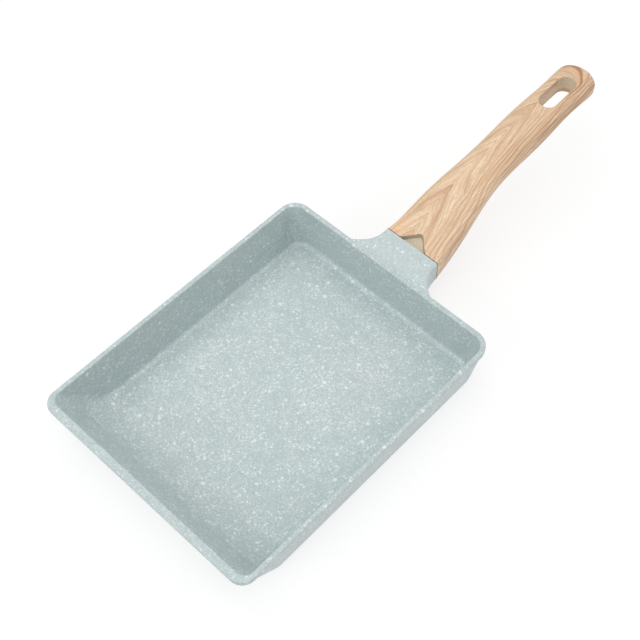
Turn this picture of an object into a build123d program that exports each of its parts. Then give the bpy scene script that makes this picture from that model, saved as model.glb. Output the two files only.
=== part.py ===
from build123d import *
import math
import os

# Rectangular omelette pan with a moulded handle, in millimetres, +Z up.
# The origin is the centre of the base on the resting plane, and +X points along the handle.

# Cast body: rim, lip and height
rim_length = 191.4
rim_width = 150.0
rim_front_corner_radius = 8.4
rim_rear_corner_radius = 10.8
rim_top_width = 2.8
front_rim_top_width = 4.4
rear_rim_top_width = 3.2
rim_edge_radius = 0.8
lip_height = 3.7
lip_overhang = 1.0
lip_under_radius = 0.5
pan_height = 33.0
floor_thickness = 3.5

# Cast body: how far each wall leans in, outside from rim to base and inside from rim to floor
front_wall_run = 17.0
side_wall_run = 4.4
rear_wall_run = 2.0
front_inner_run = 18.5
side_inner_run = 5.0
rear_inner_run = 1.1

# Cast body: corner and edge rounding
base_front_corner_radius = 18.0
base_rear_corner_radius = 14.0
base_edge_radius = 6.5
floor_front_corner_radius = 13.0
floor_rear_corner_radius = 9.0
floor_edge_radius = 3.0
front_sweep_radius = 24.0

# Steel plate let into the base
plate_thickness = 0.8
plate_margin = 16.0
plate_corner_radius = 10.0
plate_hole_radius = 2.6
plate_hole_pitch = 15.0
plate_hole_margin = 5.0

# Neck between the rim and the grip
neck_length = 19.0
neck_rise = 1.2
neck_flare = 11.0
neck_flare_power = 2.7
neck_root_depth = 22.0
neck_level_start = 1.5
neck_top_round = 2.0
neck_low_round_width = 4.5
neck_low_round_depth = 5.0

# Grip: width, depth and height of its middle above the rim, from the neck to the free end
grip_length = 158.6
grip_end_width = 25.2
grip_end_reach = 8.8
grip_end_straight = 7.0
grip_end_depth = 13.2
grip_end_lift = 22.4
grip_neck_width = 38.4
grip_neck_depth = 18.4
grip_heel_width = 35.6
grip_heel_depth = 19.0
grip_heel_lift = -4.5
grip_root_width = 34.7
grip_root_depth = 19.0
grip_root_lift = 1.7
grip_shoulder_width = 28.2
grip_shoulder_depth = 18.0
grip_shoulder_lift = 11.7
grip_waist_width = 25.3
grip_waist_depth = 17.6
grip_waist_lift = 16.4
grip_belly_width = 26.3
grip_belly_depth = 16.0
grip_belly_lift = 19.2
grip_slot_width = 24.6
grip_slot_depth = 13.6
grip_slot_lift = 21.7
seam_gap = 0.6
seam_inset = 1.2

# Hanging slot near the free end of the grip
slot_length = 29.6
slot_width = 11.0
slot_end_wall = 13.4
slot_edge_radius = 1.0

# Three-cornered recess in the top of the grip at the seam
notch_width = 19.8
notch_reach = 9.4
notch_depth = 3.7
notch_point_radius = 2.4
notch_floor_radius = 0.9

# Tang of the body and its socket in the grip
tang_length = 36.0
tang_width = 20.0
tang_thickness = 6.0
tang_drop = 8.9
tang_root = 5.0
tang_edge_radius = 1.5
socket_clearance = 0.3
socket_end_room = 1.5

# Screw from below, through the grip and into the tang
screw_reach = 18.0
screw_radius = 2.5
screw_hole_clearance = 0.1
screw_grip_floor = 2.0
screw_tip_cover = 0.5
screw_head_radius = 4.5
screw_head_height = 2.4
screw_head_edge_radius = 0.8
screw_recess_width = 1.2
screw_recess_span = 5.0
screw_recess_depth = 1.4
counterbore_radius = 5.4
washer_outer_radius = 4.1
washer_thickness = 1.1
washer_split = 0.9
washer_split_angle = 20.0
overrun = 1.0
level_tolerance = 0.001

# Shares of the sizes above
arc_handle_share = 0.5523
edge_height_shares = (0, 0.06, 0.22, 0.5, 1)
sweep_height_shares = (0.2, 0.45, 0.7, 1)
notch_floor_rise_share = 0.7
neck_station_shares = (0, 0.1, 0.22, 0.36, 0.52, 0.74, 1)
grip_heel_place_share = 0.075
grip_root_place_share = 0.158
grip_shoulder_place_share = 0.315
grip_waist_place_share = 0.473
grip_belly_place_share = 0.63
grip_slot_place_share = 0.785
grip_heel_round_shares = (0.2, 0.36)
grip_root_round_shares = (0.38, 0.62)
grip_shoulder_round_shares = (0.58, 0.78)
grip_waist_round_shares = (0.64, 0.8)
grip_belly_round_shares = (0.58, 0.8)
grip_slot_round_shares = (0.5, 0.78)
grip_end_round_shares = (0.46, 0.8)

# Places worked out from the sizes
base_length = rim_length - front_wall_run - rear_wall_run
x_rim_front = -base_length / 2 - front_wall_run
x_rim_rear = base_length / 2 + rear_wall_run
x_seam = x_rim_rear + neck_length
x_grip_end = x_seam + grip_length
z_rim = pan_height
z_lip = z_rim - lip_height
z_seam_top = z_rim + neck_rise
z_seam_middle = z_seam_top - grip_neck_depth / 2
x_shoulder = x_seam + grip_length * grip_shoulder_place_share
tang_angle = math.degrees(math.atan2(z_rim + grip_shoulder_lift - z_seam_middle, x_shoulder - x_seam))
tang_frame = Plane((x_seam, 0, z_seam_top - tang_drop), z_dir=(0, 0, 1)).rotated((0, -tang_angle, 0))
socket_floor = -tang_thickness / 2 - socket_clearance


def rounded_plan(x_front, x_rear, half_width, front_radius, rear_radius, z):
    """Level outline with one corner radius at the front and one at the handle end."""
    arcs = [
        CenterArc((x_rear - rear_radius, half_width - rear_radius, z), rear_radius, 0, 90),
        CenterArc((x_front + front_radius, half_width - front_radius, z), front_radius, 90, 90),
        CenterArc((x_front + front_radius, front_radius - half_width, z), front_radius, 180, 90),
        CenterArc((x_rear - rear_radius, rear_radius - half_width, z), rear_radius, 270, 90),
    ]
    edges = []
    for arc, following in zip(arcs, arcs[1:] + arcs[:1]):
        edges.append(arc)
        edges.append(Line(arc @ 1, following @ 0))
    return make_face(edges)


def outer_plan(z):
    """Outline of the outer wall at a height, as it leans in from the lip to the base."""
    down = (z_lip - z) / z_lip
    front_radius = rim_front_corner_radius - lip_overhang
    rear_radius = rim_rear_corner_radius - lip_overhang
    return rounded_plan(
        x_rim_front + lip_overhang + (front_wall_run - lip_overhang) * down,
        x_rim_rear - lip_overhang - (rear_wall_run - lip_overhang) * down,
        rim_width / 2 - lip_overhang - (side_wall_run - lip_overhang) * down,
        front_radius + (base_front_corner_radius - front_radius) * down,
        rear_radius + (base_rear_corner_radius - rear_radius) * down,
        z,
    )


def rounding_reach(height, run, radius):
    """How far the rounding between a leaning wall and the floor stands in from the wall at a height."""
    lean = math.atan2(run, z_rim - floor_thickness)
    if height >= radius * (1 - math.sin(lean)):
        return 0
    tangent = radius * math.tan((math.pi / 2 - lean) / 2)
    return tangent + height * math.tan(lean) - math.sqrt(radius ** 2 - (radius - height) ** 2)


def well_plan(z):
    """Outline of the cooking well at a height, as it leans in from the rim and rounds into the floor."""
    height = z - floor_thickness
    down = (z_rim - z) / (z_rim - floor_thickness)
    front_radius = rim_front_corner_radius - rim_top_width
    rear_radius = rim_rear_corner_radius - rim_top_width
    sweep = rounding_reach(height, front_inner_run, front_sweep_radius)
    rear_rounding = rounding_reach(height, rear_inner_run, floor_edge_radius)
    side_rounding = rounding_reach(height, side_inner_run, floor_edge_radius)
    return rounded_plan(
        x_rim_front + front_rim_top_width + front_inner_run * down + sweep,
        x_rim_rear - rear_rim_top_width - rear_inner_run * down - rear_rounding,
        rim_width / 2 - rim_top_width - side_inner_run * down - side_rounding,
        front_radius + (floor_front_corner_radius - front_radius) * down,
        rear_radius + (floor_rear_corner_radius - rear_radius) * down - side_rounding,
        z,
    )


def cooking_well():
    """Space inside the pan, from the floor to above the rim."""
    sweep_lean = math.atan2(front_inner_run, z_rim - floor_thickness)
    sweep_height = front_sweep_radius * (1 - math.sin(sweep_lean))
    heights = [floor_edge_radius * share for share in edge_height_shares]
    heights += [floor_edge_radius + (sweep_height - floor_edge_radius) * share for share in sweep_height_shares]
    rounded = loft([well_plan(floor_thickness + height) for height in heights])
    straight = loft([well_plan(floor_thickness + sweep_height), well_plan(z_rim + overrun)], ruled=True)
    return rounded + straight


def corner_curve(start, bend, end):
    """Quarter-round between two points, where bend is the square corner they round."""
    first = Vector(*start)
    corner = Vector(*bend)
    last = Vector(*end)
    leave = first + (corner - first) * arc_handle_share
    arrive = last + (corner - last) * arc_handle_share
    return Bezier(first, leave, arrive, last)


def upright_section(x, top, low, half_width, top_round, low_round, whole=True):
    """Section across the handle: flat top, sides and underside with rounded corners."""
    top_inner = half_width - top_round[0]
    low_inner = half_width - low_round[0]
    left = [
        corner_curve((x, top_inner, top), (x, half_width, top), (x, half_width, top - top_round[1])),
        Line((x, half_width, top - top_round[1]), (x, half_width, low + low_round[1])),
        corner_curve((x, half_width, low + low_round[1]), (x, half_width, low), (x, low_inner, low)),
    ]
    if not whole:
        middle = [Line((x, low_inner, low), (x, 0, low)), Line((x, 0, low), (x, 0, top))]
        return make_face(left + middle + [Line((x, 0, top), (x, top_inner, top))])
    right = [
        corner_curve((x, -low_inner, low), (x, -half_width, low), (x, -half_width, low + low_round[1])),
        Line((x, -half_width, low + low_round[1]), (x, -half_width, top - top_round[1])),
        corner_curve((x, -half_width, top - top_round[1]), (x, -half_width, top), (x, -top_inner, top)),
    ]
    under = Line((x, low_inner, low), (x, -low_inner, low))
    over = Line((x, -top_inner, top), (x, top_inner, top))
    return make_face(left + [under] + right + [over])


def grip_section(x, width, depth, lift, round_shares, whole=True):
    """Section of the grip, its corners rounded by shares of its half width and half depth."""
    rounding = (width / 2 * round_shares[0], depth / 2 * round_shares[1])
    middle = z_rim + lift
    return upright_section(
        x, middle + depth / 2, middle - depth / 2, width / 2, rounding, rounding, whole
    )


def neck_section(along, inset=0):
    """Section of the neck, flat on top and wider towards the rim. Along is 0 at the rim and 1 at the seam."""
    x = x_rim_rear + neck_length * along
    level_start = x_rim_rear - neck_level_start
    top = z_rim + neck_rise * (x - level_start) / (x_seam - level_start)
    seam_low = z_seam_top - grip_neck_depth
    low = z_rim - neck_root_depth + (seam_low - z_rim + neck_root_depth) * along
    half_width = grip_neck_width / 2 + neck_flare * (1 - along) ** neck_flare_power
    return upright_section(
        x, top - inset, low + inset, half_width - inset,
        (neck_top_round, neck_top_round), (neck_low_round_width, neck_low_round_depth),
    )


def edges_at_height(shape, z):
    """Edges that lie flat at one height."""
    edges = []
    for edge in shape.edges():
        box = edge.bounding_box()
        if abs(box.min.Z - z) < level_tolerance and abs(box.max.Z - z) < level_tolerance:
            edges.append(edge)
    return ShapeList(edges)


def induction_plate():
    """Perforated steel sheet, flush with the base."""
    plate_half_length = base_length / 2 - plate_margin
    plate_half_width = rim_width / 2 - side_wall_run - plate_margin
    outline = rounded_plan(
        -plate_half_length, plate_half_length, plate_half_width, plate_corner_radius, plate_corner_radius, 0
    )
    plate = extrude(outline, plate_thickness)
    across = int((plate_half_length - plate_hole_margin) / plate_hole_pitch + 0.5)
    along_y = int((plate_half_width - plate_hole_margin) / plate_hole_pitch + 0.5)
    for i in range(-across, across):
        for j in range(-along_y, along_y):
            place = Pos((i + 0.5) * plate_hole_pitch, (j + 0.5) * plate_hole_pitch, plate_thickness / 2)
            plate -= place * Cylinder(plate_hole_radius, plate_thickness)
    return plate


def tang():
    """Flat tongue of the body that fills the socket in the grip."""
    bar = Box(tang_length + tang_root, tang_width, tang_thickness)
    bar = fillet(bar.edges().filter_by(Axis.X), tang_edge_radius)
    bar = tang_frame * Pos((tang_length - tang_root) / 2, 0, 0) * bar
    hole = Cylinder(screw_radius + screw_hole_clearance, tang_thickness + overrun)
    return bar - tang_frame * Pos(screw_reach, 0, 0) * hole


def pan_body(plate):
    """Cast body: well, rim with its lip, neck and tang."""
    lip = extrude(
        rounded_plan(
            x_rim_front, x_rim_rear, rim_width / 2, rim_front_corner_radius, rim_rear_corner_radius, z_lip
        ),
        lip_height,
    )
    lip = fillet(edges_at_height(lip, z_rim), rim_edge_radius)
    lip = fillet(edges_at_height(lip, z_lip), lip_under_radius)
    wall = loft([outer_plan(0), outer_plan(z_rim - lip_height / 2)], ruled=True)
    wall = fillet(edges_at_height(wall, 0), base_edge_radius)
    inside_rim = -rim_top_width / neck_length
    neck = loft([neck_section(along) for along in (inside_rim,) + neck_station_shares])
    body = lip + wall + neck - cooking_well() + tang() - plate
    mouth = well_plan(z_rim).bounding_box()
    slack = rim_edge_radius / 2
    inner_rim = [
        edge for edge in edges_at_height(body, z_rim)
        if mouth.min.X - slack < edge.center().X < mouth.max.X + slack
        and abs(edge.center().Y) < mouth.max.Y + slack
    ]
    return fillet(inner_rim, rim_edge_radius)


def grip_blank():
    """Outer form of the grip, without its socket and openings."""
    x_round = x_grip_end - grip_end_reach
    stations = [
        (grip_heel_place_share, grip_heel_width, grip_heel_depth, grip_heel_lift, grip_heel_round_shares),
        (grip_root_place_share, grip_root_width, grip_root_depth, grip_root_lift, grip_root_round_shares),
        (grip_shoulder_place_share, grip_shoulder_width, grip_shoulder_depth, grip_shoulder_lift,
         grip_shoulder_round_shares),
        (grip_waist_place_share, grip_waist_width, grip_waist_depth, grip_waist_lift, grip_waist_round_shares),
        (grip_belly_place_share, grip_belly_width, grip_belly_depth, grip_belly_lift, grip_belly_round_shares),
        (grip_slot_place_share, grip_slot_width, grip_slot_depth, grip_slot_lift, grip_slot_round_shares),
    ]
    seam_face = upright_section(
        x_seam + seam_gap, z_seam_top, z_seam_top - grip_neck_depth, grip_neck_width / 2,
        (neck_top_round, neck_top_round), (neck_low_round_width, neck_low_round_depth),
    )
    faces = [seam_face]
    for share, width, depth, lift, rounding in stations:
        faces.append(grip_section(x_seam + grip_length * share, width, depth, lift, rounding))
    end = (grip_end_width, grip_end_depth, grip_end_lift, grip_end_round_shares)
    for x in (x_round - grip_end_straight, x_round):
        faces.append(grip_section(x, *end))
    blank = loft(faces)
    half_round = revolve(grip_section(0, *end, whole=False), Axis((0, 0, 0), (0, 0, -1)), 180)
    cap = Pos(x_round, 0, 0) * scale(half_round, (grip_end_reach / (grip_end_width / 2), 1, 1))
    land = extrude(neck_section(1, inset=seam_inset), seam_gap, dir=(1, 0, 0))
    return blank + cap + land


def hanging_slot():
    """Long round-ended hole through the grip near its free end."""
    x_middle = x_grip_end - slot_end_wall - slot_length / 2
    return Pos(x_middle, 0, z_rim) * extrude(SlotOverall(slot_length, slot_width), grip_length)


def notch():
    """Cutter for the three-cornered recess: upright walls, and a floor that rises less than the grip does."""
    root_top = z_rim + grip_root_lift + grip_root_depth / 2
    rise = (root_top - z_seam_top) * notch_floor_rise_share
    slope = math.degrees(math.atan2(rise, grip_length * grip_root_place_share))
    wide = notch_width / 2 * (notch_reach + overrun) / notch_reach
    outline = make_face(Polyline((-overrun, -wide), (notch_reach, 0), (-overrun, wide), close=True))
    outline = fillet(outline.vertices().sort_by(Axis.X)[-1], notch_point_radius)
    upright = Pos(x_seam, 0, z_seam_top) * extrude(outline, grip_neck_depth, both=True)
    floor = Plane((x_seam, 0, z_seam_top - notch_depth), z_dir=(0, 0, 1)).rotated((0, -slope, 0))
    cutter = split(upright, bisect_by=floor, keep=Keep.TOP)
    floor_edges = cutter.faces().sort_by(Axis.Z)[0].edges().sort_by(Axis.X)
    return fillet(floor_edges[1:], notch_floor_radius)


def handle_grip():
    """Moulded handle with its hanging slot, recess, socket for the tang and screw seat."""
    grip = grip_blank() - hanging_slot()
    x_slot_end = x_grip_end - slot_end_wall + level_tolerance
    mouths = [
        edge for edge in grip.edges()
        if edge.bounding_box().min.X > x_slot_end - slot_length - level_tolerance * 2
        and edge.bounding_box().max.X < x_slot_end
        and edge.bounding_box().max.Y < slot_width / 2 + level_tolerance
        and edge.geom_type != GeomType.LINE
    ]
    grip = fillet(mouths, slot_edge_radius)
    socket = Box(
        tang_length + tang_root + socket_end_room,
        tang_width + socket_clearance * 2,
        tang_thickness + socket_clearance * 2,
    )
    socket = fillet(socket.edges().filter_by(Axis.X), tang_edge_radius + socket_clearance)
    grip -= tang_frame * Pos((tang_length + socket_end_room - tang_root) / 2, 0, 0) * socket
    grip -= notch()
    seat = socket_floor - screw_grip_floor
    clear = Cylinder(screw_radius + screw_hole_clearance, grip_neck_depth)
    grip -= tang_frame * Pos(screw_reach, 0, socket_floor - grip_neck_depth / 2 + overrun) * clear
    bore = Cylinder(counterbore_radius, grip_neck_depth)
    return grip - tang_frame * Pos(screw_reach, 0, seat - grip_neck_depth / 2) * bore


def lock_washer():
    """Split spring washer under the screw head."""
    ring = Cylinder(washer_outer_radius, washer_thickness)
    ring -= Cylinder(screw_radius + screw_hole_clearance, washer_thickness)
    split = Pos(washer_outer_radius, 0, 0) * Rot(washer_split_angle, 0, 0)
    ring -= split * Box(washer_outer_radius * 2, washer_split, washer_thickness * 2)
    seat = socket_floor - screw_grip_floor
    return tang_frame * Pos(screw_reach, 0, seat - washer_thickness / 2) * ring


def handle_screw():
    """Machine screw with a domed head and a cross recess."""
    seat = socket_floor - screw_grip_floor - washer_thickness
    tip = tang_thickness / 2 - screw_tip_cover
    shank = Pos(0, 0, (tip + seat) / 2) * Cylinder(screw_radius, tip - seat)
    head = Cylinder(screw_head_radius, screw_head_height)
    head = fillet(head.edges().sort_by(Axis.Z)[0], screw_head_edge_radius)
    for turn in (0, 90):
        slot = Rot(0, 0, turn) * Box(screw_recess_span, screw_recess_width, screw_recess_depth)
        head -= Pos(0, 0, (screw_recess_depth - screw_head_height) / 2) * slot
    head = Pos(0, 0, seat - screw_head_height / 2) * head
    return tang_frame * Pos(screw_reach, 0, 0) * (shank + head)


def main():
    os.makedirs("parts", exist_ok=True)
    plate = induction_plate()
    pieces = {
        "pan_body": pan_body(plate),
        "induction_plate": plate,
        "handle_grip": handle_grip(),
        "lock_washer": lock_washer(),
        "handle_screw": handle_screw(),
    }
    for name, piece in pieces.items():
        export_step(piece, f"parts/{name}.step")


main()
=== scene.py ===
import bpy
import math
from mathutils import Matrix, Vector

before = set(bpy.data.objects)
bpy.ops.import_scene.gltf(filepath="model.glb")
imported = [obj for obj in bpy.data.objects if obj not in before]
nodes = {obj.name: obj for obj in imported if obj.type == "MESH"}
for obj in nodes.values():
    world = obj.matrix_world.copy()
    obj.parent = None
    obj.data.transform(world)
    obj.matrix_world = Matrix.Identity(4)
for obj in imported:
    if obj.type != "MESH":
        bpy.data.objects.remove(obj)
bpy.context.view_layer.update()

MM = 0.001


def rgb(red, green, blue):
    return (red, green, blue, 1.0)


# Camera, as the photograph was taken: metres, degrees and pixels
CAMERA_TARGET = (0.03457, 0.00381, 0.0330)
CAMERA_DISTANCE = 0.64162
CAMERA_YAW = 43.10
CAMERA_DOWN = 56.10
CAMERA_ROLL = 0.17
CAMERA_FOCAL_PIXELS = 1171.53
IMAGE_PIXELS = 640
SENSOR_WIDTH = 36.0
NEAREST_SEEN, FURTHEST_SEEN = 0.01, 50

# Studio light. Lamps: name, place, aimed at, width, height, power in watts, colour
DOME_STRENGTH = 0.51
LAMP_AIM = (0.02, 0.0, 0.02)
WHITE_LIGHT = (1.0, 1.0, 1.0)
LAMPS = [
    ("overhead softbox", (-0.30, -0.22, 1.6), LAMP_AIM, 1.0, 1.0, 7.1, WHITE_LIGHT),
    ("low front softbox", (-1.45, 0.25, 0.8), LAMP_AIM, 0.8, 0.8, 7.0, WHITE_LIGHT),
    ("left softbox", (0.30, 0.70, 1.45), LAMP_AIM, 1.0, 1.0, 4.2, WHITE_LIGHT),
    ("right softbox", (0.95, -0.95, 1.2), LAMP_AIM, 1.0, 1.0, 4.4, WHITE_LIGHT),
    ("low side strip", (0.1, -1.3, 0.12), (0.1, 0.0, 0.02), 1.6, 0.3, 0.8, (1.0, 0.93, 0.95)),
]

# White floor: its size, the colour that lights the pan, and what the camera sees of it, with the
# distances from the pan over which its shadow fades out
FLOOR_SIZE = 12.0
FLOOR_COLOUR = rgb(0.88, 0.88, 0.88)
FLOOR_SEEN_WHITE = 0.73
FLOOR_SEEN_COLOUR = rgb(0.28, 0.28, 0.28)
SHADOW_REACH = (0.45, 0.80)
PLAIN_WHITE = rgb(1, 1, 1)

# Places on the part, in millimetres, as the frame has them
RIM_HEIGHT = 33.0
NECK_X = 91.0
SEAM_X = 107.2
GRIP_LENGTH = 158.6
SLOT_NEAR_X = 222.8
SLOT_FAR_X = 252.4
SLOT_RADIUS = 5.5
SLOT_FOOT_HEIGHT = 48.8
RECESS_REACH = 9.4
RECESS_DEPTH = 3.7
RECESS_HALF_WIDTH = 9.9

# Coating
SAGE = rgb(0.480, 0.562, 0.562)
# rim and neck tops: lighter sage that stands for painted highlight
SAGE_RIM_PAINTED_HIGHLIGHT = rgb(0.492, 0.575, 0.575)
SAGE_NECK_PAINTED_HIGHLIGHT = rgb(0.528, 0.612, 0.612)
# greyer tint for the coating's own mottle and for the painted glare patch
SAGE_MOTTLE_AND_GLARE = rgb(0.512, 0.562, 0.566)
SAGE_GRAIN = rgb(0.365, 0.442, 0.446)
DUST = rgb(0.78, 0.84, 0.84)
FLECK = rgb(0.80, 0.86, 0.86)
BARE_GROOVE = rgb(0.66, 0.66, 0.66)
BARE_RIDGE = rgb(0.78, 0.78, 0.78)
# painted reflection: centre and reach in millimetres of a pinkish glare patch on the floor
GLARE_PATCH_CENTRE = (42.0, -24.0)
GLARE_PATCH_REACH = (40.0, 32.0)
TURNING_RINGS = 9.0

# Film on the grip, and the plastic under it
ASH_PALE = rgb(0.850, 0.665, 0.465)
ASH_FIBRE = rgb(0.680, 0.478, 0.305)
ASH_PORE = rgb(0.540, 0.350, 0.215)
ASH_LINE = rgb(0.520, 0.320, 0.185)
ASH_ARCH = rgb(0.480, 0.245, 0.120)
ASH_CURL = rgb(0.440, 0.200, 0.090)
ASH_EDGE = rgb(0.380, 0.205, 0.110)
SEAM_ORANGE = rgb(0.780, 0.440, 0.260)
CROSS_FIGURE = rgb(0.560, 0.370, 0.250)
CROSS_FIGURE_X = 127.5
KHAKI_DARK = rgb(0.58, 0.49, 0.35)
KHAKI_PALE = rgb(0.70, 0.60, 0.45)
# darker khaki that paints shade on the recess's upright walls
KHAKI_WALL_PAINTED_SHADE = rgb(0.46, 0.395, 0.29)
TAN_DARK = rgb(0.60, 0.44, 0.285)
TAN_PALE = rgb(0.72, 0.55, 0.37)
TAN_BROW = rgb(0.44, 0.27, 0.15)
SLOT_LIP = rgb(0.52, 0.31, 0.18)

# Grain along the grip, from the seam (0) to the free end (1): height of its top and half its width
# in millimetres, and how many growth rings have passed under the line of the arches' tips
TOP_HEIGHT = [(0.0, 34.2), (0.075, 38.0), (0.158, 44.2), (0.315, 53.7), (0.473, 58.2),
              (0.63, 60.2), (0.785, 61.5), (0.92, 62.0), (1.0, 62.0)]
HALF_WIDTH = [(0.0, 19.2), (0.075, 17.8), (0.158, 17.35), (0.315, 14.1), (0.473, 12.65),
              (0.63, 13.15), (0.785, 12.3), (0.92, 12.6), (1.0, 12.6)]
RING_COUNT = [(0.0, 0.6), (0.257, 1.94), (0.443, 2.92), (0.60, 3.9), (0.73, 4.9), (0.806, 5.7),
              (0.972, 8.9), (1.0, 9.5)]
TOP_SCALE = 80.0
WIDTH_SCALE = 25.0
RING_SCALE = 12.0
END_HALF_WIDTH = 12.6
# the arches' tips lie to the left of the middle by this share of half the width
TIPS_ASIDE = 0.30
TIP_ROUNDING = 0.0012
CURL_BEND = 0.0105
# rings differ in darkness by an angle that steps from ring to ring
SHADE_STEP = 2.4
SHADE_START = -0.83


# ---------------------------------------------------------------- node helpers

class Bench:
    """Adds and wires nodes in one node tree."""

    def __init__(self, tree):
        self.tree = tree

    def add(self, kind, **settings):
        node = self.tree.nodes.new(kind)
        for name, value in settings.items():
            setattr(node, name, value)
        return node

    def feed(self, socket, value):
        """Links an output to a socket, or sets the socket to a plain value."""
        if isinstance(value, bpy.types.NodeSocket):
            self.tree.links.new(value, socket)
        elif value is not None:
            socket.default_value = value

    def math(self, operation, first, second=None, clamp=False):
        node = self.add("ShaderNodeMath", operation=operation, use_clamp=clamp)
        for socket, value in zip(node.inputs, (first, second)):
            self.feed(socket, value)
        return node.outputs[0]

    def plus(self, first, second):
        return self.math("ADD", first, second)

    def minus(self, first, second):
        return self.math("SUBTRACT", first, second)

    def times(self, first, second):
        return self.math("MULTIPLY", first, second)

    def larger(self, first, second):
        return self.math("MAXIMUM", first, second)

    def past(self, value, start):
        """How far the value is past the start, and 0 before it."""
        return self.larger(self.minus(value, start), 0.0)

    def square(self, value):
        return self.math("POWER", value, 2.0)

    def fade(self, factor, first, second):
        """First where the factor is 0, second where it is 1."""
        return self.plus(self.times(first, self.minus(1.0, factor)), self.times(second, factor))

    def vector(self, operation, first, second=None, scale=None):
        node = self.add("ShaderNodeVectorMath", operation=operation)
        self.feed(node.inputs[0], first)
        if second is not None:
            self.feed(node.inputs[1], second)
        if scale is not None:
            self.feed(node.inputs["Scale"], scale)
        return node.outputs["Value" if operation == "LENGTH" else "Vector"]

    def split(self, vector):
        node = self.add("ShaderNodeSeparateXYZ")
        self.feed(node.inputs[0], vector)
        return node.outputs["X"], node.outputs["Y"], node.outputs["Z"]

    def join(self, x, y, z):
        node = self.add("ShaderNodeCombineXYZ")
        for socket, value in zip(node.inputs, (x, y, z)):
            self.feed(socket, value)
        return node.outputs[0]

    def ramp(self, value, low, high, out_low=0.0, out_high=1.0, smooth=True):
        """Value taken from low..high to out_low..out_high and held at the ends."""
        shape = "SMOOTHSTEP" if smooth else "LINEAR"
        node = self.add("ShaderNodeMapRange", interpolation_type=shape)
        for name, part in (("Value", value), ("From Min", low), ("From Max", high),
                           ("To Min", out_low), ("To Max", out_high)):
            self.feed(node.inputs[name], part)
        return node.outputs["Result"]

    def noise(self, vector, scale=1.0, detail=2.0, roughness=0.5):
        node = self.add("ShaderNodeTexNoise")
        for name, part in (("Vector", vector), ("Scale", scale), ("Detail", detail),
                           ("Roughness", roughness)):
            self.feed(node.inputs[name], part)
        return node.outputs["Fac"]

    def mix(self, factor, first, second):
        """Mix of two colours."""
        node = self.add("ShaderNodeMix", data_type="RGBA")
        self.feed(node.inputs[0], factor)
        self.feed(node.inputs[6], first)
        self.feed(node.inputs[7], second)
        return node.outputs[2]

    def curve(self, value, points, scale):
        """Value from 0 to 1 through a smooth curve of points, with heights below the scale."""
        node = self.add("ShaderNodeFloatCurve")
        line = node.mapping.curves[0]
        for index, (x, height) in enumerate(points):
            if index < 2:
                line.points[index].location = (x, height / scale)
            else:
                line.points.new(x, height / scale)
        node.mapping.update()
        self.feed(node.inputs["Value"], value)
        return self.times(node.outputs[0], scale)

    def use(self, group, **values):
        node = self.add("ShaderNodeGroup", node_tree=group)
        for name, value in values.items():
            self.feed(node.inputs[name.replace("_", " ")], value)
        return node.outputs

    def millimetres(self):
        """Object coordinates in millimetres."""
        place = self.add("ShaderNodeTexCoord")
        return self.vector("SCALE", place.outputs["Object"], scale=1 / MM)

    def upward(self):
        """1 on a surface that faces up, 0 on an upright one and -1 on one that faces down."""
        return self.split(self.add("ShaderNodeNewGeometry").outputs["Normal"])[2]

    def bump(self, height, strength, distance):
        node = self.add("ShaderNodeBump")
        for name, part in (("Height", height), ("Strength", strength), ("Distance", distance)):
            self.feed(node.inputs[name], part)
        return node.outputs["Normal"]

    def plain(self, kind, colour, strength=None):
        """A plain shader of one colour."""
        node = self.add(kind)
        self.feed(node.inputs["Color"], colour)
        if strength is not None:
            self.feed(node.inputs["Strength"], strength)
        return node.outputs[0]

    def choose(self, factor, first, second):
        """The first shader where the factor is 0, the second where it is 1."""
        node = self.add("ShaderNodeMixShader")
        for socket, value in zip(node.inputs, (factor, first, second)):
            self.feed(socket, value)
        return node.outputs[0]


def new_group(name, inputs, outputs):
    """Empty node group. An input is a name, socket type and value, an output a name and type."""
    tree = bpy.data.node_groups.new(name, "ShaderNodeTree")
    for label, kind, value in inputs:
        socket = tree.interface.new_socket(label, in_out="INPUT", socket_type=kind)
        if value is not None:
            socket.default_value = value
    for label, kind in outputs:
        tree.interface.new_socket(label, in_out="OUTPUT", socket_type=kind)
    given = tree.nodes.new("NodeGroupInput").outputs
    return Bench(tree), given, tree.nodes.new("NodeGroupOutput").inputs


def new_material(name):
    """Material with only its Principled shader, and its bench and the shader's inputs."""
    material = bpy.data.materials.new(name)
    material.use_nodes = True
    shader = material.node_tree.nodes["Principled BSDF"]
    return material, Bench(material.node_tree), shader.inputs


FLOAT, VECTOR = "NodeSocketFloat", "NodeSocketVector"


# ---------------------------------------------------------------- coating

def make_fleck_layer():
    """One layer of sprayed flecks: round dots of mixed size, one at most in each cell."""
    bench, given, out = new_group(
        "sprayed fleck layer",
        [("Place", VECTOR, None), ("Spacing", FLOAT, 2.2), ("Radius", FLOAT, 0.5),
         ("Share", FLOAT, 0.5), ("Softness", FLOAT, 0.25)],
        [("Mask", FLOAT)],
    )
    cells = bench.add("ShaderNodeTexVoronoi", feature="F1", voronoi_dimensions="3D")
    bench.feed(cells.inputs["Vector"], given["Place"])
    bench.feed(cells.inputs["Scale"], bench.math("DIVIDE", 1.0, given["Spacing"]))
    cells.inputs["Randomness"].default_value = 1.0
    chance, size, _ = bench.split(cells.outputs["Color"])
    away = bench.times(cells.outputs["Distance"], given["Spacing"])
    radius = bench.times(given["Radius"], bench.ramp(size, 0.0, 1.0, 0.5, 1.0, smooth=False))
    edge = bench.times(given["Softness"], given["Radius"])
    dot = bench.ramp(bench.minus(away, radius), edge, bench.times(edge, -1.0))
    kept = bench.math("LESS_THAN", chance, given["Share"])
    bench.feed(out["Mask"], bench.times(dot, kept))
    return bench.tree


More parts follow.
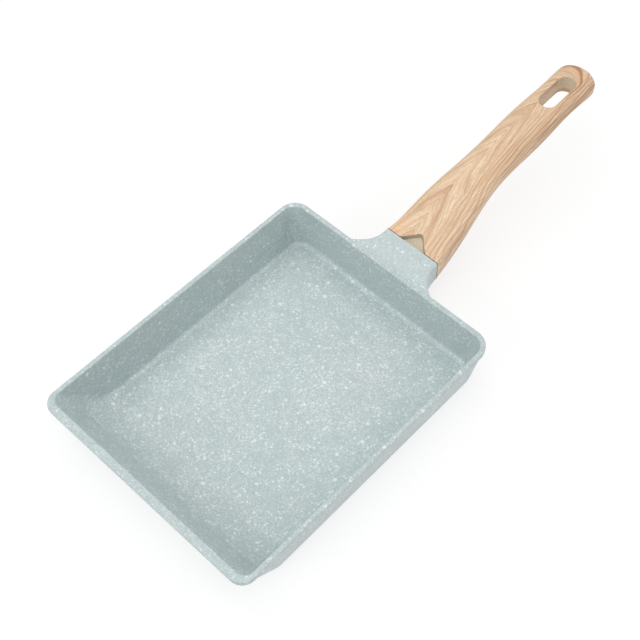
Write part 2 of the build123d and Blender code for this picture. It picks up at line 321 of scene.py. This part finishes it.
def make_flecks(layer):
    """Sprayed flecks in three sizes, gathered in loose clouds, and the mottle between them."""
    bench, given, out = new_group(
        "sprayed stone flecks",
        [("Place", VECTOR, None), ("Amount", FLOAT, 1.0)],
        [("Mask", FLOAT), ("Dust", FLOAT), ("Grain", FLOAT)],
    )
    wander = bench.add("ShaderNodeTexNoise")
    bench.feed(wander.inputs["Vector"], given["Place"])
    wander.inputs["Scale"].default_value = 1.5
    wander.inputs["Detail"].default_value = 1.0
    shift = bench.vector("SUBTRACT", wander.outputs["Color"], (0.5, 0.5, 0.5))
    place = bench.vector("ADD", given["Place"], bench.vector("SCALE", shift, scale=1.5))
    clouds = bench.noise(given["Place"], scale=0.13, detail=3.0, roughness=0.65)
    amount = bench.times(bench.ramp(clouds, 0.36, 0.64, 0.35, 1.5), given["Amount"])

    def flecks(offset, share, **sizes):
        moved = bench.vector("ADD", place, offset)
        return bench.use(layer, Place=moved, Share=bench.times(amount, share), **sizes)["Mask"]

    small = flecks((0.0, 0.0, 0.0), 0.75, Spacing=1.02, Radius=0.56, Softness=0.4)
    middle = flecks((31.0, 7.0, 13.0), 0.40, Spacing=1.75, Radius=0.72, Softness=0.35)
    large = flecks((5.0, 53.0, 29.0), 0.5, Spacing=5.0, Radius=1.1, Softness=0.3)
    bench.feed(out["Mask"], bench.larger(bench.times(middle, 0.85), large))
    bench.feed(out["Dust"], small)
    grain = bench.noise(given["Place"], scale=1.05, detail=1.5, roughness=0.6)
    bench.feed(out["Grain"], bench.ramp(grain, 0.34, 0.66))
    return bench.tree


def make_coating(flecks):
    """Sage-green non-stick coating with white flecks, and turned aluminium on the base."""
    material, bench, shader = new_material("stone coating")
    place = bench.millimetres()
    x, y, z = bench.split(place)
    up = bench.upward()
    on_rim = bench.ramp(z, RIM_HEIGHT - 0.8, RIM_HEIGHT - 0.1)
    on_neck = bench.ramp(x, NECK_X - 4.0, NECK_X + 2.0)
    # fewer flecks on upright walls, on the rim and on the neck
    amount = bench.minus(bench.ramp(up, 0.2, 0.8, 0.60, 1.0), bench.times(on_rim, 0.45))
    amount = bench.minus(amount, bench.times(on_neck, 0.18))
    found = bench.use(flecks, Place=place, Amount=amount)
    # painted highlight: the rim's top band is a lighter sage, lighter still on the neck
    tone = bench.mix(on_rim, SAGE, bench.mix(on_neck, SAGE_RIM_PAINTED_HIGHLIGHT, SAGE_NECK_PAINTED_HIGHLIGHT))
    # painted reflection: a large patch of the floor is slightly greyer and pinker where a pinkish
    # glare falls; the mottle is the coating's own uneven tone
    glare_x, glare_y = (
        bench.math("DIVIDE", bench.minus(measure, centre), reach)
        for measure, centre, reach in zip((x, y), GLARE_PATCH_CENTRE, GLARE_PATCH_REACH))
    glare_patch = bench.vector("LENGTH", bench.join(glare_x, glare_y, 0.0))
    mottle = bench.ramp(bench.noise(place, scale=0.03, detail=2.0), 0.35, 0.65, 0.0, 0.35)
    tone = bench.mix(bench.larger(mottle, bench.ramp(glare_patch, 1.0, 0.3, 0.0, 0.9)), tone, SAGE_MOTTLE_AND_GLARE)
    grain = bench.times(found["Grain"], bench.ramp(on_neck, 0.0, 1.0, 0.65, 0.45))
    colour = bench.mix(grain, tone, SAGE_GRAIN)
    colour = bench.mix(bench.times(found["Dust"], 0.40), colour, DUST)
    colour = bench.mix(bench.times(found["Mask"], 0.72), colour, FLECK)
    # the resting face is turned bare
    bare = bench.times(bench.math("LESS_THAN", z, 0.05), bench.math("LESS_THAN", up, -0.9))
    from_centre = bench.vector("LENGTH", bench.join(x, y, 0.0))
    rings = bench.math("SINE", bench.times(from_centre, TURNING_RINGS))
    turned = bench.mix(bench.ramp(rings, -1.0, 1.0), BARE_GROOVE, BARE_RIDGE)
    bench.feed(shader["Base Color"], bench.mix(bare, colour, turned))
    bench.feed(shader["Metallic"], bare)
    bench.feed(shader["Roughness"], bench.ramp(found["Grain"], 0.0, 1.0, 0.30, 0.40))
    skin = bench.plus(bench.times(found["Grain"], -0.5), bench.times(found["Mask"], 0.6))
    bench.feed(shader["Normal"], bench.bump(skin, 0.25, 0.02 * MM))
    return material


# ---------------------------------------------------------------- film on the grip

def bend_rings(bench, along, wide, low_side, edgeward):
    """How far the rings have bent back at a distance from the line of the arches' tips."""
    steep = bench.plus(bench.ramp(along, 0.24, 0.34, 1.5, 1.95),
                       bench.times(low_side, bench.ramp(along, 0.24, 0.34, 0.35, 0.75)))
    arch_rise = bench.plus(bench.times(wide, steep), bench.times(edgeward, 4.5))
    curl_rise = bench.times(bench.square(bench.times(wide, END_HALF_WIDTH)), CURL_BEND)
    curl_rise = bench.plus(curl_rise, bench.times(bench.past(wide, 0.85), 4.5))
    return bench.fade(bench.ramp(along, 0.78, 0.92), arch_rise, curl_rise)


def shade_rings(bench, ring, along, wide, slow):
    """Dark growth rings: each grows darker to its outer edge and starts light again."""
    within = bench.math("FRACT", ring)
    softer = bench.times(bench.ramp(along, 0.34, 0.28, 0.0, 2.4), bench.ramp(wide, 0.5, 0.3))
    sharp = bench.minus(bench.ramp(wide, 0.5, 0.8, 5.0, 2.0), softer)
    fall = bench.ramp(within, 0.95, 1.0, 1.0, 0.0)
    turn = bench.plus(bench.times(bench.math("FLOOR", ring), SHADE_STEP), SHADE_START)
    darkness = bench.ramp(bench.math("SINE", turn), -1.0, 1.0, 0.65, 1.0)
    arch = bench.times(bench.times(bench.math("POWER", within, sharp), fall), darkness)
    # one broad dark ring bends round beyond the slot and runs back along the right-hand edge
    bend = bench.times(bench.ramp(ring, 8.35, 8.85), bench.ramp(ring, 9.12, 8.98))
    bend = bench.times(bend, bench.ramp(along, 0.72, 0.86))
    # thinner rings nested between them
    nested = bench.math("FRACT", bench.plus(bench.times(ring, 4.0), bench.times(slow, 1.5)))
    nested = bench.times(bench.math("POWER", nested, 3.0), bench.ramp(nested, 0.88, 1.0, 1.0, 0.0))
    nested = bench.times(nested, bench.ramp(along, 0.18, 0.40, 0.10, 0.48))
    return bench.larger(bench.larger(arch, bend), nested)


def make_wood_grain():
    """Ash grain wrapped round the grip: arches on top, long lines down the sides, an end curl."""
    bench, given, out = new_group(
        "wrapped ash grain",
        [("Place", VECTOR, None)],
        [("Arch", FLOAT), ("Line", FLOAT), ("Fibre", FLOAT), ("Pore", FLOAT), ("Edge", FLOAT),
         ("Below Top", FLOAT), ("Along", FLOAT)],
    )
    place = given["Place"]
    x, y, z = bench.split(place)
    along = bench.math("DIVIDE", bench.minus(x, SEAM_X), GRIP_LENGTH, clamp=True)
    below = bench.past(bench.curve(along, TOP_HEIGHT, TOP_SCALE), z)
    half = bench.curve(along, HALF_WIDTH, WIDTH_SCALE)
    rings = bench.curve(along, RING_COUNT, RING_SCALE)
    sideways = bench.math("DIVIDE", y, half)
    slow = bench.noise(bench.vector("MULTIPLY", place, (0.04, 0.10, 0.10)), detail=1.5)
    ripple = bench.noise(bench.vector("MULTIPLY", place, (0.22, 0.45, 0.45)), detail=1.0)
    # how far a point lies from the line of the arches' tips, across the top and down the side,
    # with half the grip's width as 1
    across = bench.minus(sideways, TIPS_ASIDE)
    down = bench.math("DIVIDE", bench.past(below, 1.0), half)
    wide = bench.plus(bench.plus(bench.square(across), TIP_ROUNDING), bench.square(down))
    wide = bench.math("SQRT", wide)
    low_side = bench.ramp(across, 0.1, -0.1)
    edgeward = bench.past(wide, bench.ramp(low_side, 0.0, 1.0, 0.45, 0.6))
    rise = bend_rings(bench, along, wide, low_side, edgeward)
    waver = bench.plus(
        bench.times(bench.minus(slow, 0.5), bench.ramp(wide, 0.0, 1.2, 0.12, 1.3, smooth=False)),
        bench.times(bench.minus(ripple, 0.5), 0.10))
    ring = bench.plus(bench.plus(rings, rise), waver)
    bench.feed(out["Arch"], shade_rings(bench, ring, along, wide, slow))

    def streaks(line, line_scale, length_scale, low, high):
        """Lines at even steps of one measure, drawn out along the grip."""
        lines = bench.add("ShaderNodeTexNoise", noise_dimensions="2D")
        bench.feed(lines.inputs["Vector"], bench.join(bench.times(line, line_scale),
                                                      bench.times(x, length_scale), 0.0))
        lines.inputs["Scale"].default_value = 1.0
        lines.inputs["Detail"].default_value = 2.0
        lines.inputs["Roughness"].default_value = 0.6
        return bench.ramp(lines.outputs["Fac"], low, high)

    # near the arches the streaks follow the rings, on the sides they run along the edge
    lateral = bench.plus(bench.times(wide, half), bench.times(x, 0.05))
    lateral = bench.plus(lateral, bench.times(slow, 1.2))
    beside = bench.ramp(edgeward, 0.0, 0.18)
    arch_lines = bench.times(streaks(ring, 6.0, 0.03, 0.53, 0.62),
                             bench.ramp(along, 0.15, 0.40, 0.5, 1.0))
    side_lines = streaks(lateral, 1.25, 0.010, 0.50, 0.60)
    bench.feed(out["Line"], bench.fade(beside, arch_lines, side_lines))
    arch_fibres = streaks(ring, 12.0, 0.07, 0.34, 0.66)
    side_fibres = streaks(lateral, 2.4, 0.035, 0.36, 0.64)
    bench.feed(out["Fibre"], bench.fade(beside, arch_fibres, side_fibres))
    pores = bench.noise(bench.vector("MULTIPLY", place, (0.28, 1.9, 0.9)), detail=1.0)
    bench.feed(out["Pore"], bench.ramp(pores, 0.53, 0.66))
    # browner along the right-hand edge of the far half
    edge = bench.times(bench.ramp(sideways, -0.35, -0.85), bench.ramp(along, 0.36, 0.52))
    bench.feed(out["Edge"], bench.times(edge, bench.ramp(below, 14.0, 6.0)))
    bench.feed(out["Below Top"], below)
    bench.feed(out["Along"], along)
    return bench.tree


def colour_film(bench, grain, x, y):
    """Colour of the ash-look film, with its tinge at the seam and its faint figure."""
    colour = bench.mix(grain["Fibre"], ASH_PALE, ASH_FIBRE)
    colour = bench.mix(bench.times(grain["Pore"], 0.40), colour, ASH_PORE)
    colour = bench.mix(bench.times(grain["Line"], 0.46), colour, ASH_LINE)
    ring_brown = bench.mix(bench.ramp(grain["Along"], 0.78, 0.92), ASH_ARCH, ASH_CURL)
    ring_share = bench.ramp(grain["Along"], 0.78, 0.92, 0.92, 1.0)
    colour = bench.mix(bench.times(grain["Arch"], ring_share), colour, ring_brown)
    streaky = bench.plus(bench.times(grain["Line"], 0.55), 0.12)
    colour = bench.mix(bench.times(grain["Edge"], streaky), colour, ASH_EDGE)
    # orange tinge at the left of the seam
    corner = bench.times(bench.ramp(x, 121.0, 110.0), bench.ramp(y, 6.0, 12.0))
    colour = bench.mix(bench.times(corner, 0.40), colour, SEAM_ORANGE)
    # faint figure across the right side
    figure_x = bench.plus(CROSS_FIGURE_X, bench.times(y, -0.15))
    figure = bench.ramp(bench.math("ABSOLUTE", bench.minus(x, figure_x)), 2.2, 0.3)
    figure = bench.times(figure, bench.ramp(y, -3.5, -6.0))
    return bench.mix(bench.times(figure, 0.22), colour, CROSS_FIGURE)


def mask_slot_wall(bench, x, y, up):
    """1 on the wall of the hanging slot."""
    near_end, far_end = SLOT_NEAR_X + SLOT_RADIUS, SLOT_FAR_X - SLOT_RADIUS
    past_end = bench.minus(x, bench.ramp(x, near_end, far_end, near_end, far_end, smooth=False))
    from_slot = bench.vector("LENGTH", bench.join(past_end, y, 0.0))
    return bench.times(bench.ramp(from_slot, SLOT_RADIUS + 0.9, SLOT_RADIUS + 0.5),
                       bench.ramp(bench.math("ABSOLUTE", up), 0.75, 0.45))


def mask_recess(bench, x, y, up, below):
    """1 in the three-cornered recess at the seam."""
    edge = bench.ramp(x, SEAM_X, SEAM_X + RECESS_REACH, RECESS_HALF_WIDTH + 0.7, 0.7, smooth=False)
    inside = bench.times(bench.math("LESS_THAN", bench.math("ABSOLUTE", y), edge),
                         bench.math("LESS_THAN", x, SEAM_X + RECESS_REACH + 0.3))
    sunk = bench.larger(bench.ramp(below, 0.8, 1.1), bench.ramp(up, 0.75, 0.6))
    return bench.times(bench.times(inside, sunk),
                       bench.math("LESS_THAN", below, RECESS_DEPTH + 2.5))


def colour_plastic(bench, place, x, z, up, below, slot_wall, recess):
    """Plain plastic: khaki in the recess and at both ends of the slot, tan on the slot's sides, and
    painted shade on the recess's upright walls.
    """
    speck = bench.ramp(bench.noise(place, scale=1.2, detail=3.0, roughness=0.7), 0.3, 0.7)
    khaki = bench.mix(speck, KHAKI_DARK, KHAKI_PALE)
    # painted shade: the recess's upright walls are darker khaki
    khaki = bench.mix(bench.times(recess, bench.ramp(up, 0.8, 0.4)), khaki, KHAKI_WALL_PAINTED_SHADE)
    tan = bench.mix(speck, TAN_DARK, TAN_PALE)
    brow = bench.times(bench.ramp(below, 5.5, 1.5), bench.ramp(x, SLOT_NEAR_X, SLOT_FAR_X - 8.0))
    tan = bench.mix(bench.times(brow, 0.65), tan, TAN_BROW)
    # tan only on the far half of the grip, up to the slot's far end
    sides = bench.times(bench.ramp(x, SLOT_FAR_X - 6.0, SLOT_FAR_X - 8.0),
                        bench.ramp(x, 180.0, 200.0))
    lip = bench.ramp(z, SLOT_FOOT_HEIGHT + 4.6, SLOT_FOOT_HEIGHT + 2.4)
    lip = bench.times(bench.times(lip, slot_wall),
                      bench.ramp(x, SLOT_FAR_X - 14.0, SLOT_FAR_X - 8.0, 0.25, 0.75))
    return bench.mix(lip, bench.mix(sides, khaki, tan), SLOT_LIP)


def make_grip_film(grain_group):
    """Satin ash-look film on the moulded grip, with plain plastic in the slot and the recess."""
    material, bench, shader = new_material("wood film")
    place = bench.millimetres()
    x, y, z = bench.split(place)
    up = bench.upward()
    grain = bench.use(grain_group, Place=place)
    below = grain["Below Top"]
    slot_wall = mask_slot_wall(bench, x, y, up)
    recess = mask_recess(bench, x, y, up, below)
    film = colour_film(bench, grain, x, y)
    plastic = colour_plastic(bench, place, x, z, up, below, slot_wall, recess)
    bench.feed(shader["Base Color"], bench.mix(bench.larger(slot_wall, recess), film, plastic))
    bench.feed(shader["Roughness"], bench.ramp(grain["Line"], 0.0, 1.0, 0.42, 0.50))
    height = bench.plus(bench.times(grain["Line"], -0.6), bench.times(grain["Pore"], -0.6))
    bench.feed(shader["Normal"], bench.bump(height, 0.3, 0.03 * MM))
    return material


# ---------------------------------------------------------------- steel

def make_plate_steel():
    """Brushed steel of the base plate, its lines along the pan."""
    material, bench, shader = new_material("brushed base steel")
    lines = bench.vector("MULTIPLY", bench.millimetres(), (0.05, 9.0, 1.0))
    brushed = bench.noise(lines, detail=3.0, roughness=0.7)
    tone = bench.mix(brushed, rgb(0.50, 0.50, 0.49), rgb(0.70, 0.70, 0.69))
    bench.feed(shader["Base Color"], tone)
    shader["Metallic"].default_value = 1.0
    bench.feed(shader["Roughness"], bench.ramp(brushed, 0.3, 0.7, 0.28, 0.42))
    bench.feed(shader["Normal"], bench.bump(brushed, 0.2, 0.01 * MM))
    return material


def make_fixing_steel():
    """Zinc-plated steel of the screw and its washer."""
    material, bench, shader = new_material("zinc plated steel")
    cloud = bench.noise(bench.millimetres(), scale=0.8, detail=3.0, roughness=0.6)
    tone = bench.mix(cloud, rgb(0.55, 0.56, 0.57), rgb(0.70, 0.70, 0.69))
    bench.feed(shader["Base Color"], tone)
    shader["Metallic"].default_value = 1.0
    bench.feed(shader["Roughness"], bench.ramp(cloud, 0.3, 0.7, 0.30, 0.45))
    return material


def dress(name, material):
    """Gives a node of the frame its better material."""
    for slot in nodes[name].material_slots:
        slot.material = material


# ---------------------------------------------------------------- studio

def seen_directly(bench):
    """1 for what the camera sees, straight or in metal and glass."""
    path = bench.add("ShaderNodeLightPath").outputs
    seen = bench.larger(path["Is Camera Ray"], path["Is Glossy Ray"])
    return bench.larger(seen, path["Is Transmission Ray"])


def build_dome():
    """Soft light from all round, seen as plain white."""
    world = bpy.data.worlds.new("studio")
    bpy.context.scene.world = world
    world.use_nodes = True
    tree = world.node_tree
    tree.nodes.remove(tree.nodes["Background"])
    bench = Bench(tree)
    light = bench.plain("ShaderNodeBackground", PLAIN_WHITE, DOME_STRENGTH)
    white = bench.plain("ShaderNodeBackground", PLAIN_WHITE, 1.0)
    bench.feed(tree.nodes["World Output"].inputs["Surface"],
               bench.choose(seen_directly(bench), light, white))


def lay_floor():
    """White floor that keeps the pan's shadow, and is plain white like the dome further away."""
    bpy.ops.object.select_all(action="DESELECT")
    bpy.ops.mesh.primitive_plane_add(size=FLOOR_SIZE, location=(0, 0, 0))
    floor = bpy.context.active_object
    floor.name = "studio_floor"
    material = bpy.data.materials.new("white floor")
    material.use_nodes = True
    tree = material.node_tree
    tree.nodes.remove(tree.nodes["Principled BSDF"])
    bench = Bench(tree)
    near = bench.add("ShaderNodeAddShader")
    bench.feed(near.inputs[0], bench.plain("ShaderNodeBsdfDiffuse", FLOOR_SEEN_COLOUR))
    bench.feed(near.inputs[1], bench.plain("ShaderNodeEmission", PLAIN_WHITE, FLOOR_SEEN_WHITE))
    far = bench.plain("ShaderNodeEmission", PLAIN_WHITE, 1.0)
    away = bench.vector("LENGTH", bench.add("ShaderNodeTexCoord").outputs["Object"])
    seen = bench.choose(bench.ramp(away, *SHADOW_REACH), near.outputs[0], far)
    bounce = bench.plain("ShaderNodeBsdfDiffuse", FLOOR_COLOUR)
    bench.feed(tree.nodes["Material Output"].inputs["Surface"],
               bench.choose(seen_directly(bench), bounce, seen))
    floor.data.materials.append(material)


def hang_lamps():
    for name, place, aim, width, height, power, colour in LAMPS:
        data = bpy.data.lights.new(name, "AREA")
        data.shape = "RECTANGLE"
        data.size, data.size_y, data.energy, data.color = width, height, power, colour
        lamp = bpy.data.objects.new(name, data)
        bpy.context.scene.collection.objects.link(lamp)
        lamp.location = place
        lamp.rotation_euler = (Vector(aim) - Vector(place)).to_track_quat("-Z", "Y").to_euler()


def place_camera():
    yaw, down, roll = map(math.radians, (CAMERA_YAW, CAMERA_DOWN, CAMERA_ROLL))
    level = math.cos(down)
    ahead = Vector((math.cos(yaw) * level, math.sin(yaw) * level, -math.sin(down)))
    flat_right = Vector((math.sin(yaw), -math.cos(yaw), 0))
    flat_up = flat_right.cross(ahead)
    right = flat_right * math.cos(roll) + flat_up * math.sin(roll)
    up = flat_up * math.cos(roll) - flat_right * math.sin(roll)
    data = bpy.data.cameras.new("camera")
    data.sensor_width = SENSOR_WIDTH
    data.lens = CAMERA_FOCAL_PIXELS / IMAGE_PIXELS * SENSOR_WIDTH
    data.clip_start, data.clip_end = NEAREST_SEEN, FURTHEST_SEEN
    camera = bpy.data.objects.new("camera", data)
    bpy.context.scene.collection.objects.link(camera)
    place = Vector(CAMERA_TARGET) - ahead * CAMERA_DISTANCE
    camera.matrix_world = Matrix((
        (right.x, up.x, -ahead.x, place.x),
        (right.y, up.y, -ahead.y, place.y),
        (right.z, up.z, -ahead.z, place.z),
        (0, 0, 0, 1),
    ))
    bpy.context.scene.camera = camera


# ---------------------------------------------------------------- scene

dress("pan_body", make_coating(make_flecks(make_fleck_layer())))
dress("handle_grip", make_grip_film(make_wood_grain()))
dress("induction_plate", make_plate_steel())
fixing_steel = make_fixing_steel()
dress("handle_screw", fixing_steel)
dress("lock_washer", fixing_steel)

build_dome()
lay_floor()
hang_lamps()
place_camera()
bpy.context.scene.view_settings.view_transform = "Standard"
